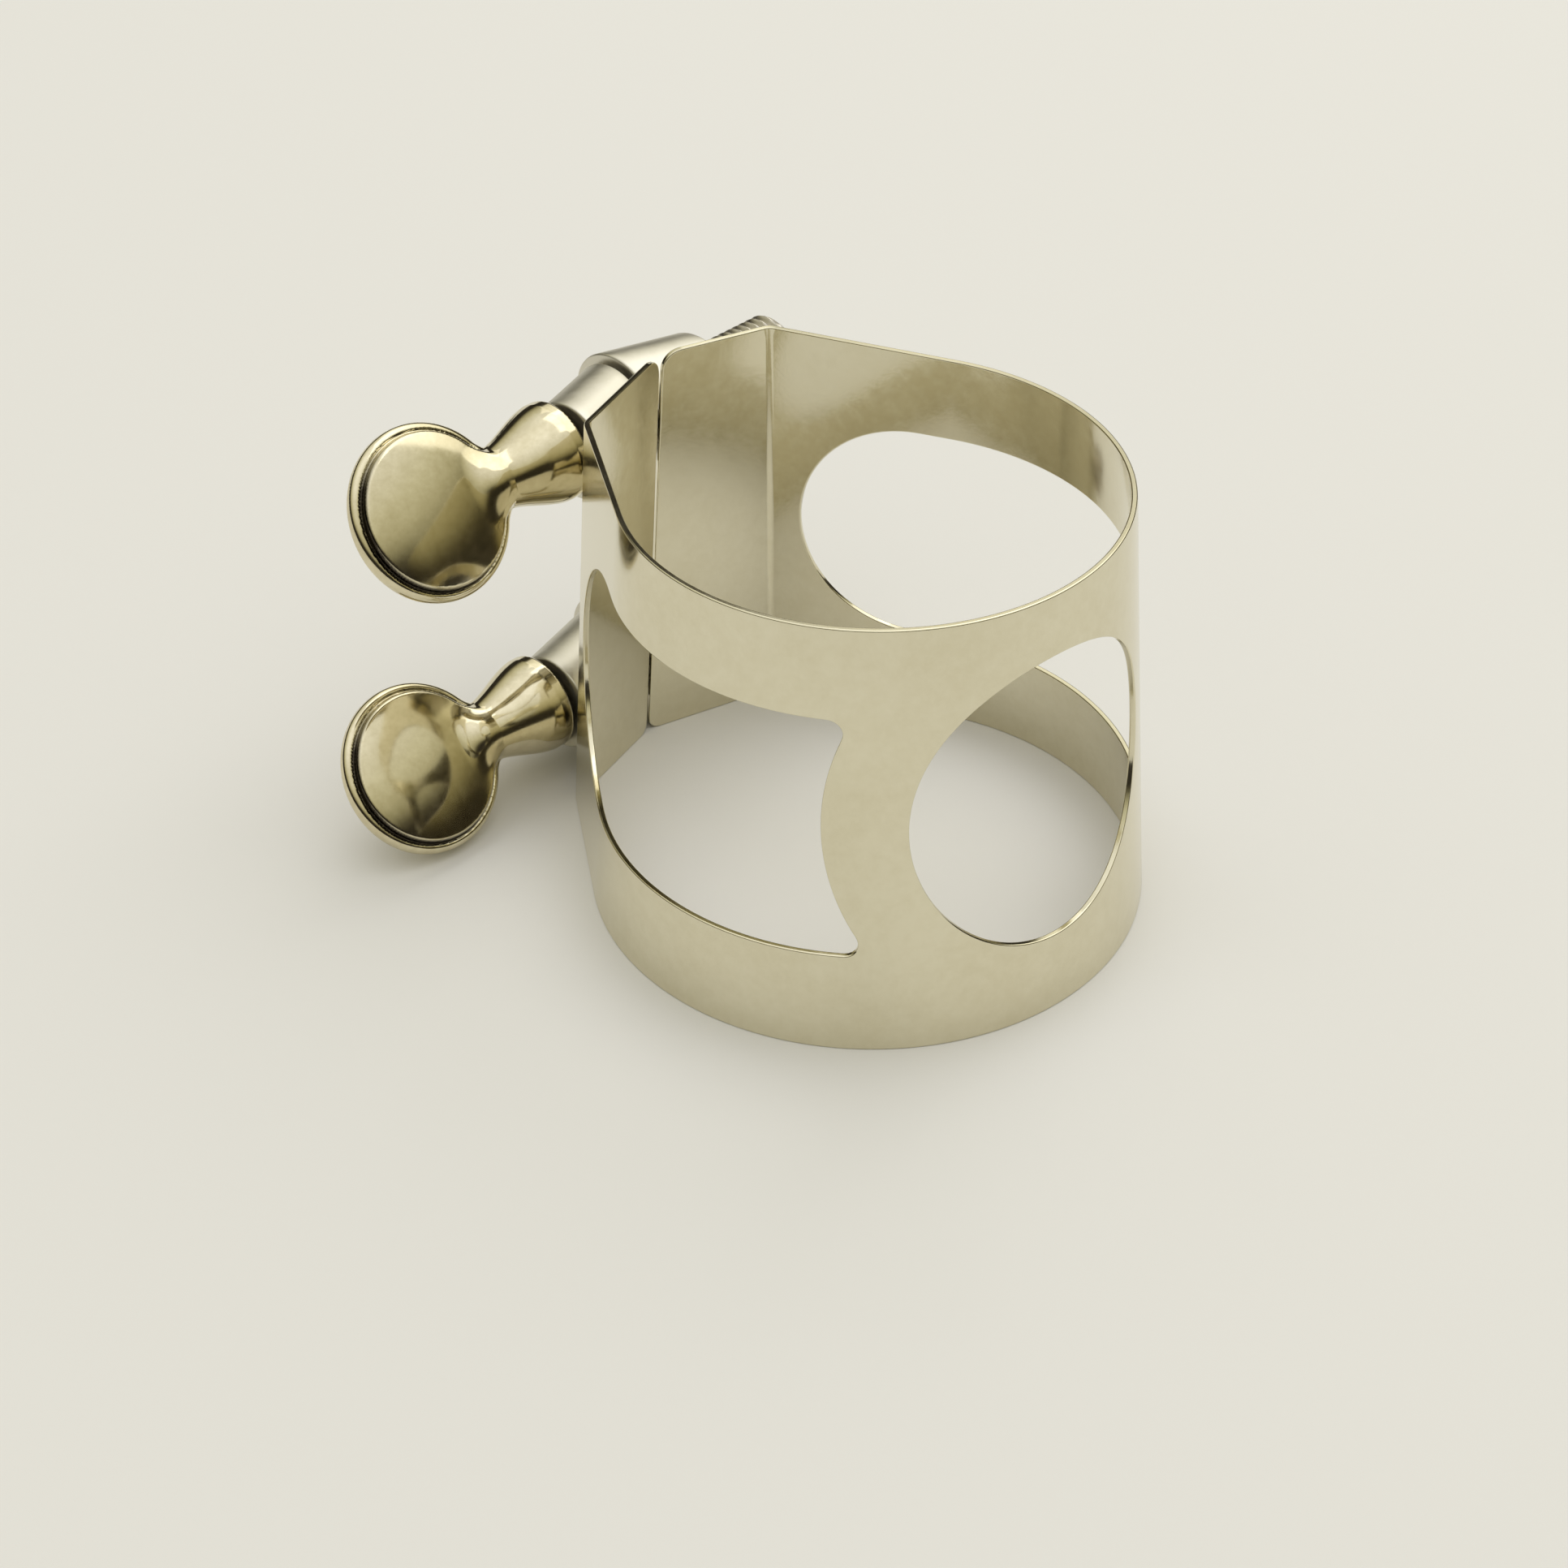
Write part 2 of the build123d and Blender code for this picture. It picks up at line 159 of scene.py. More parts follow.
# ---- the stage and the camera, metres
PAPER_COLOUR = (0.85, 0.84, 0.822)
PAPER_SIZE = 20.0
LIGHT_COLOUR = (1.0, 0.99, 0.985)
LIGHT_TARGET = (0, 0, 0.01)
ROOM_SHADES = (  # by height: 0 straight down, 0.5 level, 1 straight up
    (0.28, (0.030, 0.026, 0.020)),
    (0.34, (0.09, 0.08, 0.05)),
    (0.42, (0.36, 0.34, 0.22)),
    (0.50, (0.55, 0.525, 0.37)),
    (0.62, (0.73, 0.71, 0.56)),
    (0.80, (0.95, 0.94, 0.88)),
    (0.90, (1.08, 1.075, 1.04)),
    (1.00, (1.22, 1.22, 1.2)),
)
CAMERA_PLACE = (-0.0913572, -0.0831223, 0.099627)
CAMERA_FORWARD = (0.56889, 0.55417, -0.6076)
CAMERA_LENS = 71.3  # millimetres
CAMERA_SENSOR = 36.0  # millimetres

QUARTER = [k * pi / 8 for k in range(5)]  # the angles of the points on a rounded edge


def at(pair, z):
    """A dimension at height z, from its values at the two rims."""
    return pair[0] + (pair[1] - pair[0]) * z / HEIGHT


def unit(v):
    return v / np.maximum(np.linalg.norm(v, axis=-1, keepdims=True), 1e-12)


# ---------------------------------------------------------------- meshes
def make_mesh(name, verts, faces, normals=None, uv=None):
    """A smooth mesh from points in millimetres, with its own vertex normals if they are given."""
    mesh = bpy.data.meshes.new(name)
    mesh.from_pydata((np.asarray(verts) * MM).tolist(), [], [tuple(int(i) for i in f) for f in faces])
    mesh.validate()
    mesh.shade_smooth()
    if uv is not None:
        layer = mesh.uv_layers.new(name="flat")
        index = np.zeros(len(mesh.loops), int)
        mesh.loops.foreach_get("vertex_index", index)
        layer.data.foreach_set("uv", (uv[index] * UV_PER_MM).astype(np.float32).ravel())
    if normals is not None:
        mesh.normals_split_custom_set_from_vertices(normals.tolist())
    obj = bpy.data.objects.new(name, mesh)
    bpy.context.scene.collection.objects.link(obj)
    return obj


def sharpen(obj, degrees):
    """Smooth shading that breaks at edges sharper than the angle."""
    obj.data.set_sharp_from_angle(angle=radians(degrees))
    return obj


def grid_faces(rows, columns, closed=False):
    """Quads over a grid, closed round its columns and, if asked, from its last row to its first."""
    faces = []
    for r in range(rows if closed else rows - 1):
        below, above = r * columns, (r + 1) % rows * columns
        for c in range(columns):
            d = (c + 1) % columns
            faces.append((below + c, below + d, above + d, above + c))
    return faces


def end_faces(rows, columns):
    """The two faces that close a grid's first and last rows."""
    return [tuple(range(columns))[::-1], tuple((rows - 1) * columns + c for c in range(columns))]


# ---------------------------------------------------------------- the band
def of_wing(pairs, wing, z):
    """A dimension of each wing at height z."""
    return np.where(wing > 0, at(pairs[1], z), at(pairs[-1], z))


def measure(wing, z):
    """A wing at height z: the turns of its side and its flat, and how far along it each piece ends."""
    radius = at(CROWN_RADIUS, z)
    corner_x, corner_y = of_wing(CORNER_X, wing, z), of_wing(CORNER_Y, wing, z)
    corner = np.hypot(corner_x, corner_y)
    side = np.arctan2(corner_y, corner_x) - np.arccos(radius / corner)
    flat = pi / 2 - np.arctan2(of_wing(PEAK_Y, wing, z) - corner_y, corner_x)
    reach = BEND_RADIUS * np.tan((flat - side) / 2)
    round_end = radius * (side + pi / 2)
    side_end = round_end + np.sqrt(corner**2 - radius**2) - reach
    return SimpleNamespace(
        radius=radius,
        corner_x=corner_x,
        corner_y=corner_y,
        side=side,
        flat=flat,
        reach=reach,
        round_end=round_end,
        side_end=side_end,
        bend_end=side_end + BEND_RADIUS * (flat - side),
    )


def by_piece(t, m, on_round, on_side, on_bend, on_flat):
    """One of four values, by the piece of the wing that the distance t falls on."""
    before = [t < m.round_end, t < m.side_end, t < m.bend_end]
    return np.select(before, [on_round, on_side, on_bend], on_flat)


def band_length(wing, z):
    """From the crown line to the gap along the outer face."""
    m = measure(wing, z)
    edge_x = GAP / 2 + SHEET * np.cos(m.flat) + wing * at(GAP_SHIFT, z)
    return m.bend_end + (m.corner_x - m.reach * np.sin(m.flat) - edge_x) / np.sin(m.flat)


def band_point(a, z, depth=0.0):
    """Points of the band: a is the distance from the crown line along the outer face, positive to +X."""
    wing = np.where(a < 0, -1.0, 1.0)
    t = np.abs(a)
    m = measure(wing, z)
    bend_angle = m.side + (t - m.side_end) / BEND_RADIUS
    angle = by_piece(t, m, -pi / 2 + t / m.radius, m.side, bend_angle, m.flat)
    side_x, side_y = m.corner_x + m.reach * np.sin(m.side), m.corner_y - m.reach * np.cos(m.side)
    bend_x, bend_y = side_x - BEND_RADIUS * np.cos(m.side), side_y - BEND_RADIUS * np.sin(m.side)
    flat_x, flat_y = m.corner_x - m.reach * np.sin(m.flat), m.corner_y + m.reach * np.cos(m.flat)
    on_side = np.clip(t, m.round_end, m.side_end) - m.side_end
    on_flat = np.maximum(t - m.bend_end, 0)
    x = by_piece(
        t,
        m,
        m.radius * np.cos(angle),
        side_x - on_side * np.sin(m.side),
        bend_x + BEND_RADIUS * np.cos(angle),
        flat_x - on_flat * np.sin(m.flat),
    )
    y = by_piece(
        t,
        m,
        m.radius * np.sin(angle),
        side_y + on_side * np.cos(m.side),
        bend_y + BEND_RADIUS * np.sin(angle),
        flat_y + on_flat * np.cos(m.flat),
    )
    return np.stack([wing * (x - depth * np.cos(angle)), y - depth * np.sin(angle), z + 0 * x], -1)


def band_frame(a, z, depth):
    """Two surface directions and the outward normal at points of the band."""
    along = unit(band_point(a + SMALL_STEP, z, depth) - band_point(a - SMALL_STEP, z, depth))
    up = unit(band_point(a, z + SMALL_STEP, depth) - band_point(a, z - SMALL_STEP, depth))
    return along, up, unit(np.cross(along, up))


def spread(points):
    """A closed outline resampled at even steps."""
    closed = np.vstack([points, points[:1]])
    run = np.concatenate([[0], np.cumsum(np.linalg.norm(np.diff(closed, axis=0), axis=1))])
    s = np.linspace(0, run[-1], int(run[-1] / OUTLINE_STEP), endpoint=False)
    return np.stack([np.interp(s, run, closed[:, k]) for k in (0, 1)], 1)


def round_corner(before, corner, after, radius, steps=10):
    """The arc that rounds a corner between two straight neighbours."""
    u, v = unit(before - corner), unit(after - corner)
    half = np.arccos(np.clip(u @ v, -1, 1)) / 2
    centre = corner + unit(u + v) * radius / np.sin(half)
    start, end = corner + u * radius / np.tan(half), corner + v * radius / np.tan(half)
    a0, a1 = np.arctan2(*(start - centre)[::-1]), np.arctan2(*(end - centre)[::-1])
    turn = (a1 - a0 + pi) % (2 * pi) - pi
    angles = a0 + turn * np.linspace(0, 1, steps)
    return centre + radius * np.stack([np.cos(angles), np.sin(angles)], 1)


def sheet_outline():
    """The flattened sheet, with the corners beside the gap rounded."""
    rims = np.array([0.0, HEIGHT])
    right = np.stack([band_length(1, rims), rims], 1)
    left = np.stack([-band_length(-1, rims), rims], 1)
    corners = [*right, *left[::-1]]
    roundings = [*GAP_CORNER, *GAP_CORNER[::-1]]
    arcs = []
    for k, (corner, rounding) in enumerate(zip(corners, roundings)):
        arcs.append(round_corner(corners[k - 1], corner, corners[(k + 1) % 4], rounding, 14))
    return spread(np.vstack(arcs))


def crown_window():
    """The round window, on the flattened sheet."""
    turn = np.linspace(0, 2 * pi, 180, endpoint=False)
    z = RING_Z + RING_RADIUS * np.sin(turn)
    return spread(np.stack([RING_TURN * at(CROWN_RADIUS, z) + RING_RADIUS * np.cos(turn), z], 1))


def side_window(wing):
    """A side window, on the flattened sheet: one end concave round the crown's ring, one half round."""
    middle, half = (SIDE_LOW_Z + SIDE_HIGH_Z) / 2, (SIDE_HIGH_Z - SIDE_LOW_Z) / 2
    z = np.linspace(SIDE_LOW_Z, SIDE_HIGH_Z, 60)
    across = np.sqrt((RING_RADIUS + RING_WIDTH) ** 2 - (z - RING_Z) ** 2)
    ring = np.stack([RING_TURN * at(CROWN_RADIUS, z) + wing * across, z], 1)
    turn = np.linspace(pi / 2, -pi / 2, 60)
    z = middle + half * np.sin(turn)
    end = np.stack([wing * (SIDE_END_TURN[wing] * at(CROWN_RADIUS, z) + half * np.cos(turn)), z], 1)
    low = round_corner(end[-1], ring[0], ring[4], SIDE_CORNER)
    high = round_corner(ring[-5], ring[-1], end[0], SIDE_CORNER)
    kept = ring[(ring[:, 1] > low[-1, 1]) & (ring[:, 1] < high[0, 1])]
    return spread(np.vstack([low, kept, high, end]))


def inside(points, loop):
    """Which points lie inside a closed outline."""
    x, y = points[:, 0][:, None], points[:, 1][:, None]
    x0, y0 = loop[:, 0], loop[:, 1]
    x1, y1 = np.roll(x0, -1), np.roll(y0, -1)
    crossing = (y0 > y) != (y1 > y)
    with np.errstate(divide="ignore", invalid="ignore"):
        at_x = x0 + (y - y0) * (x1 - x0) / (y1 - y0)
    return (np.sum(crossing & (x < at_x), axis=1) % 2).astype(bool)


def on_sheet(points, outlines):
    """Which points lie inside the first outline and outside the others."""
    good = inside(points, outlines[0])
    for window in outlines[1:]:
        good &= ~inside(points, window)
    return good


def into_sheet(loop, is_window):
    """Unit directions from the points of an outline into the sheet."""
    run = unit(np.roll(loop, -1, 0) - np.roll(loop, 1, 0))
    normal = np.stack([-run[:, 1], run[:, 0]], 1)
    points_inside = np.mean(inside(loop + 0.02 * normal, loop)) > 0.5
    return -normal if points_inside == is_window else normal


def runs_backwards(loop, is_window):
    """Whether an outline keeps the sheet on its right."""
    x, y = loop[:, 0], loop[:, 1]
    anticlockwise = np.sum(x * np.roll(y, -1) - np.roll(x, -1) * y) > 0
    return anticlockwise == is_window


def fill_points(outlines):
    """Points in rows over the sheet, closer together where it curves, and clear of its outlines."""
    rows = []
    for z in np.arange(FIRST_ROW, HEIGHT, ROW_STEP):
        for wing in (1, -1):
            m = measure(wing, z)
            marks = [
                np.linspace(0, m.round_end, 64)[wing < 0 :],
                np.linspace(m.round_end, m.side_end, 14)[1:],
                np.linspace(m.side_end, m.bend_end, 9)[1:],
                np.linspace(m.bend_end, m.bend_end + FLAT_WIDTH, 18)[1:],
            ]
            a = wing * np.concatenate(marks)
            rows.append(np.stack([a, np.full_like(a, z)], 1))
    fill = np.vstack(rows)
    fill = fill[on_sheet(fill, outlines)]
    border = np.vstack(outlines)
    nearest = np.array([np.min(np.sum((border - p) ** 2, 1)) for p in fill])
    return fill[nearest >= ROW_CLEARANCE**2]


def triangulate(outlines):
    """The sheet's flat points and triangles, and the number that each outline point has among them."""
    edges = []
    for loop in outlines:
        first, length = len(edges), len(loop)
        edges += [(first + k, first + (k + 1) % length) for k in range(length)]
    points = [Vector(p) for p in np.vstack([*outlines, fill_points(outlines)])]
    made, _, triangles, origins, _, _ = delaunay_2d_cdt(points, edges, [], 0, 1e-7)
    flat = np.array([list(v) for v in made])
    number = {source: k for k, sources in enumerate(origins) for source in sources}
    triangles = np.array(triangles)
    triangles = triangles[on_sheet(flat[triangles].mean(1), outlines)]
    u, v = flat[triangles[:, 1]] - flat[triangles[:, 0]], flat[triangles[:, 2]] - flat[triangles[:, 0]]
    flip = (u[:, 0] * v[:, 1] - u[:, 1] * v[:, 0]) < 0
    triangles[flip] = triangles[flip][:, ::-1]
    return flat, triangles, number


def edge_profile():
    """A rounded cut edge from the outer to the inner face: inset, depth, and the normal's two parts."""
    outer = [(EDGE_ROUND * (1 - sin(t)), EDGE_ROUND * (1 - cos(t)), cos(t), sin(t)) for t in QUARTER[1:]]
    return outer + [(inset, SHEET - depth, -out, away) for inset, depth, out, away in outer[::-1]]


def ring_faces(rings, backwards):
    """Quads from each ring of points to the next."""
    length = len(rings[0])
    faces = []
    for r0, r1 in zip(rings[:-1], rings[1:]):
        for k in range(length):
            j = (k + 1) % length
            quad = (r0[k], r1[k], r1[j], r0[j])
            faces.append(quad[::-1] if backwards else quad)
    return faces


def make_band():
    """The whole band as one closed mesh: its two faces, joined by rounded cut edges."""
    loops = [sheet_outline(), crown_window(), side_window(1), side_window(-1)]
    inward = [into_sheet(loop, k > 0) for k, loop in enumerate(loops)]
    flat, triangles, number = triangulate([loop + EDGE_ROUND * n for loop, n in zip(loops, inward)])
    a, z = flat[:, 0], flat[:, 1]
    size = len(flat)
    verts = [band_point(a, z), band_point(a, z, SHEET)]
    normals = [band_frame(a, z, 0.0)[2], -band_frame(a, z, SHEET)[2]]
    uv = [flat, flat]
    faces = [tuple(t) for t in triangles] + [tuple(t[::-1] + size) for t in triangles]
    total, first = 2 * size, 0
    for k, (loop, n) in enumerate(zip(loops, inward)):
        length = len(loop)
        outer_ring = np.array([number[first + j] for j in range(length)])
        rings = [outer_ring]
        for inset, depth, out, away in edge_profile():
            p = loop + inset * n
            along, up, normal = band_frame(p[:, 0], p[:, 1], depth)
            into = unit(along * n[:, :1] + up * n[:, 1:])
            verts.append(band_point(p[:, 0], p[:, 1], depth))
            normals.append(unit(normal * out - into * away))
            uv.append(p)
            rings.append(total + np.arange(length))
            total += length
        rings.append(outer_ring + size)
        faces += ring_faces(rings, runs_backwards(loop, k > 0))
        first += length
    return make_mesh("band", np.vstack(verts), faces, np.vstack(normals), np.vstack(uv))


# ---------------------------------------------------------------- barrels and solder
def flat_lean(side, z):
    """How far a reed flat is turned from level."""
    return np.arctan2(at(PEAK_Y[side], z) - at(CORNER_Y[side], z), at(CORNER_X[side], z))


def flat_y(side, x, z):
    """Where a reed flat's outer face lies."""
    return at(PEAK_Y[side], z) - side * x * tan(flat_lean(side, z))


def barrel_ends(side, level):
    """A barrel's two ends along X: the threaded one is on the +X side."""
    gap = at(GAP_SHIFT, SCREW_Z[level])
    if side > 0:
        return gap + THREADED_START, gap + THREADED_START + THREADED_LENGTH
    return HEAD_X[level] + SHOULDER_X + SHOULDER_PLAY, gap - PLAIN_SHORT


def barrel_y(side, level):
    """Where a barrel's own axis is at its middle, with the barrel lying on its flat."""
    middle = sum(barrel_ends(side, level)) / 2
    z = SCREW_Z[level]
    return flat_y(side, middle, z) + (BARREL_RADIUS[side] + BARREL_LIFT) / cos(flat_lean(side, z))


def bore_y(side, level, x):
    """The bore's middle line: a threaded one stands halfway between its shut and fully open places."""
    if side < 0:
        return SCREW_Y[level]
    levers = [SCREW_Y[k] + at(CROWN_RADIUS, SCREW_Z[k]) for k in range(2)]
    opening = OPEN_TURNS * PITCH / levers[0]
    middle = sum(barrel_ends(side, level)) / 2
    drop = levers[level] * (1 - cos(opening)) + middle * sin(opening)
    return SCREW_Y[level] + drop / 2 + (x - middle) * tan(opening / 2)


def make_barrel(name, side, level):
    """A tube along its flat with ends square to the screw, a softened outer edge and a chamfered bore."""
    start, end = barrel_ends(side, level)
    lean = -side * flat_lean(side, SCREW_Z[level])
    middle = (start + end) / 2
    radius = BARREL_RADIUS[side]
    profile = [(BORE_RADIUS + wider, start + deep) for wider, deep in BORE_MOUTH]
    soft = BARREL_SOFT
    profile += [(radius - soft * (1 - sin(t)), start + soft * (1 - cos(t))) for t in QUARTER]
    mouth_and_edge = profile[::-1]
    profile += [(radius, start + (end - start) * k / 8) for k in range(1, 8)]
    profile += [(r, start + end - x) for r, x in mouth_and_edge]
    turn = np.linspace(0, 2 * pi, 96, endpoint=False)
    verts = []
    for r, x in profile:
        # a share of 0 follows the bore, and a share of 1 follows the leaning outer wall
        share = np.clip((r - BORE_RADIUS) / (radius - soft - BORE_RADIUS), 0, 1)
        wall_y = barrel_y(side, level) + (x - middle) * tan(lean)
        y = share * wall_y + (1 - share) * bore_y(side, level, x)
        tall = r / (cos(lean) * share + 1 - share)
        ring = [np.full_like(turn, x), y + tall * np.cos(turn), SCREW_Z[level] + r * np.sin(turn)]
        verts.append(np.stack(ring, 1))
    faces = grid_faces(len(profile), len(turn), closed=True)
    return sharpen(make_mesh(name, np.vstack(verts), faces), 50)


def solder_section():
    """The fillet across the screw: a hollow from each toe up to the barrel, and the underside."""
    hollow = []
    for k in range(9):
        s = k / 8
        hollow.append((-SOLDER_HALF + SOLDER_RUN * s**0.8, SOLDER_TOE + SOLDER_RISE * s**2.2))
    mirrored = [(-across, height) for across, height in hollow[::-1]]
    return hollow + mirrored + [(SOLDER_HALF, SOLDER_BASE), (-SOLDER_HALF, SOLDER_BASE)]


def make_solder(name, side, level):
    """A concave fillet of solder on both sides of the line where a barrel lies on its flat."""
    start, end = barrel_ends(side, level)
    start, end = start + SOLDER_SHORT, end - SOLDER_SHORT
    random = np.random.default_rng(11 + 2 * level + (side > 0))
    phase = random.uniform(0, 2 * pi, 2)
    section = solder_section()
    verts = []
    for k in range(SOLDER_STEPS + 1):
        x = start + (end - start) * k / SOLDER_STEPS
        pull = min(1.0, SOLDER_THIN + 3.0 * min(k, SOLDER_STEPS - k) / SOLDER_STEPS)
        wobble = 1 + sum(height * sin(pace * x + p) for (height, pace), p in zip(SOLDER_WAVES, phase))
        for across, height in section:
            at_toe = height < 0.1
            z = SCREW_Z[level] + across * (wobble if at_toe else 1) * (0.8 + 0.2 * pull)
            rise = height * (pull if height > 0 else 1) / cos(flat_lean(side, z))
            verts.append((x, flat_y(side, x, z) + rise, z))
    rows, columns = SOLDER_STEPS + 1, len(section)
    faces = grid_faces(rows, columns) + end_faces(rows, columns)
    return sharpen(make_mesh(name, np.array(verts), faces), 60)


# ---------------------------------------------------------------- thumb heads, as signed distances
def smooth_min(a, b, blend):
    """The smaller of two distances, with the crease between them rounded."""
    h = np.clip(0.5 + 0.5 * (b - a) / blend, 0, 1)
    return b + (a - b) * h - blend * h * (1 - h)


def smooth_max(a, b, blend):
    return -smooth_min(-a, -b, blend)


def plate_axes(points):
    """Places along the lower plate's slope and across its faces, positive on the pad's side."""
    y, z = points[..., 1], points[..., 2]
    tilt = PLATE_TILT[0]
    return y * cos(tilt) + z * sin(tilt), -y * sin(tilt) + z * cos(tilt)


def plate_distance(rho, w):
    """A flange with a round rim, and its slightly domed back."""
    out, over = rho - (PLATE_RADIUS - PLATE_SOFT), np.abs(w) - (PLATE_HALF - PLATE_SOFT)
    beyond = np.hypot(np.maximum(out, 0), np.maximum(over, 0))
    flange = beyond + np.minimum(np.maximum(out, over), 0) - PLATE_SOFT
    ball = np.sqrt(rho**2 + (w - (BACK_BALL - BACK_DEPTH)) ** 2) - BACK_BALL
    dome = np.maximum(smooth_max(ball, rho - BACK_RADIUS, blend=0.2), w)
    return smooth_min(flange, dome, blend=0.15)


def pad_distance(rho, w):
    """The domed pad inside the groove."""
    ball = np.sqrt(rho**2 + (w - (PAD_TOP - PAD_BALL)) ** 2) - PAD_BALL
    return np.maximum(smooth_max(ball, rho - (GROOVE_RADIUS - PAD_INSET), blend=0.2), -w)


def neck_distance(x, around):
    """The neck: slender at the plate and flared to the shoulder."""
    s = np.clip((x - NECK_START) / (NECK_END - NECK_START), 0, 1)
    radius = NECK_SLIM + NECK_FLARE * (0.45 * s + 0.55 * s * s * (3 - 2 * s))
    across_slope = 0.96  # the flare's slope makes the true distance a little shorter
    return smooth_max((around - radius) * across_slope, NECK_CUT - x, blend=1.3)


def head_distance(points):
    """Signed distance to the thumb head: plate, raised pad and neck, flowing into each other."""
    x = points[..., 0]
    v, w = plate_axes(points)
    rho, around = np.hypot(x, v), np.hypot(points[..., 1], points[..., 2])
    neck = neck_distance(x, around)
    neck_behind = smooth_max(neck, w - 0.2, blend=0.3)
    groove = np.hypot(rho - GROOVE_RADIUS, w - GROOVE_LEVEL) - GROOVE_HALF
    plate = smooth_max(smooth_min(plate_distance(rho, w), neck_behind, blend=0.6), -groove, blend=0.05)
    pear = smooth_min(pad_distance(rho, w), neck, blend=0.7)
    whole = smooth_min(plate, pear, blend=0.06)
    shouldered = smooth_max(whole, x - (SHOULDER_X - SEAT_HEIGHT), blend=0.12)
    seat = np.maximum(around - SEAT_RADIUS, np.maximum(x - SHOULDER_X, SEAT_ROOT - x))
    return np.minimum(shouldered, seat)


def gradient(points, h):
    """The slope of the head's distance along each axis."""
    slopes = []
    for step in np.eye(3) * h:
        slopes.append(head_distance(points + step) - head_distance(points - step))
    return np.stack(slopes, -1) / (2 * h)


# ---------------------------------------------------------------- thumb heads, as a mesh
CELL_CORNERS = [(i, j, k) for i in (0, 1) for j in (0, 1) for k in (0, 1)]


def crossed_cells(within):
    """The grid cells that the surface passes through, and a grid of their numbers."""
    nx, ny, nz = (n - 1 for n in within.shape)
    total = np.zeros((nx, ny, nz), int)
    for i, j, k in CELL_CORNERS:
        total += within[i : nx + i, j : ny + j, k : nz + k]
    crossed = (total > 0) & (total < len(CELL_CORNERS))
    number = -np.ones(crossed.shape, int)
    number[crossed] = np.arange(crossed.sum())
    return np.argwhere(crossed), number


def cell_points(cells, grid, distance):
    """One point in each crossed cell: the mean of the places where the surface cuts its edges."""
    point_sum = np.zeros((len(cells), 3))
    point_count = np.zeros(len(cells))
    for corner in CELL_CORNERS:
        for axis in range(3):
            if corner[axis]:
                continue
            other = list(corner)
            other[axis] = 1
            near, far = tuple((cells + corner).T), tuple((cells + other).T)
            d_near, d_far = distance[near], distance[far]
            cut = (d_near < 0) != (d_far < 0)
            share = np.where(cut, d_near / np.where(cut, d_near - d_far, 1), 0)
            place = grid[near] + (grid[far] - grid[near]) * share[:, None]
            point_sum += np.where(cut[:, None], place, 0)
            point_count += cut
    return point_sum / point_count[:, None]


def pull_to_surface(points, longest):
    """Moves points onto the head's surface, by at most the longest move in each of four rounds."""
    for _ in range(4):
        g = gradient(points, SMALL_STEP)
        move = head_distance(points)[:, None] * g / np.maximum(np.sum(g * g, 1, keepdims=True), 0.2)
        points = points - np.clip(move, -longest, longest)
    return points


def net_faces(within, number):
    """A quad round each grid edge that the surface cuts, facing outward."""
    faces = []
    for axis in range(3):
        second, third = (axis + 1) % 3, (axis + 2) % 3
        edge = np.argwhere(within != np.roll(within, -1, axis))
        edge = edge[edge[:, axis] < within.shape[axis] - 1]
        for k in (second, third):
            edge = edge[(edge[:, k] > 0) & (edge[:, k] < within.shape[k] - 1)]
        quads = []
        for back_second, back_third in ((1, 1), (0, 1), (0, 0), (1, 0)):
            cell = edge.copy()
            cell[:, second] -= back_second
            cell[:, third] -= back_third
            quads.append(number[tuple(cell.T)])
        quads = np.stack(quads, 1)
        outward = within[tuple(edge.T)]
        quads[~outward] = quads[~outward][:, ::-1]
        faces.append(quads)
    return np.vstack(faces)


def surface_net(low, high, step):
    """The head's surface as quads, by naive surface nets over its distance field."""
    axes = [np.arange(a, b + step, step) for a, b in zip(low, high)]
    grid = np.stack(np.meshgrid(*axes, indexing="ij"), -1)
    distance = head_distance(grid)
    cells, number = crossed_cells(distance < 0)
    points = pull_to_surface(cell_points(cells, grid, distance), 0.4 * step)
    return points, net_faces(distance < 0, number)


def head_painted_shade(points):
    """Painted shade from 0 to 1: a dark line standing in for the shade in parts of the groove and on the
    pad's wall on the pad's side, and all over the seat, standing in for the shaded gap between shoulder
    and barrel.
    """
    x = points[:, 0]
    v, w = plate_axes(points)
    off = np.abs(np.hypot(x, v) - (GROOVE_RADIUS - SHADE_LINE_INSET))
    in_groove = np.clip(1.9 - off / SHADE_LINE_WIDTH, 0, 1)
    # painted shade in the groove is strongest towards -X and the low side of the plate and fades out
    # across it
    patch = np.clip(0.55 - 0.3 * x - 0.2 * v, 0, 1)
    # painted shade over the whole seat, for the shaded gap between shoulder and barrel
    on_seat = np.clip((x - (SHOULDER_X - SEAT_HEIGHT - 0.04)) / 0.06, 0, 1)
    return np.maximum(in_groove * patch * (w > 0), on_seat)


def make_heads():
    """Both thumb heads, from one surface turned to each plate's own tilt."""
    low, high = (-4.8, -5.0, -4.6), (SHOULDER_X + 0.3, 5.0, 4.6)
    points, faces = surface_net(low, high, HEAD_STEP)
    normals = unit(gradient(points, 0.02))
    painted_shade = head_painted_shade(points)
    heads = []
    for level, name in enumerate(LEVELS):
        turn = PLATE_TILT[level] - PLATE_TILT[0]
        spin = np.array([[1, 0, 0], [0, cos(turn), -sin(turn)], [0, sin(turn), cos(turn)]])
        centre = np.array([HEAD_X[level], SCREW_Y[level], SCREW_Z[level]])
        head = make_mesh(name + "_thumbscrew_head", points @ spin.T + centre, faces, normals @ spin.T)
        # the painted shade mask, kept on the mesh for the metal shader
        mark = head.data.attributes.new("painted_shade", "FLOAT", "POINT")
        mark.data.foreach_set("value", painted_shade.astype(np.float32))
        heads.append(head)
    return heads


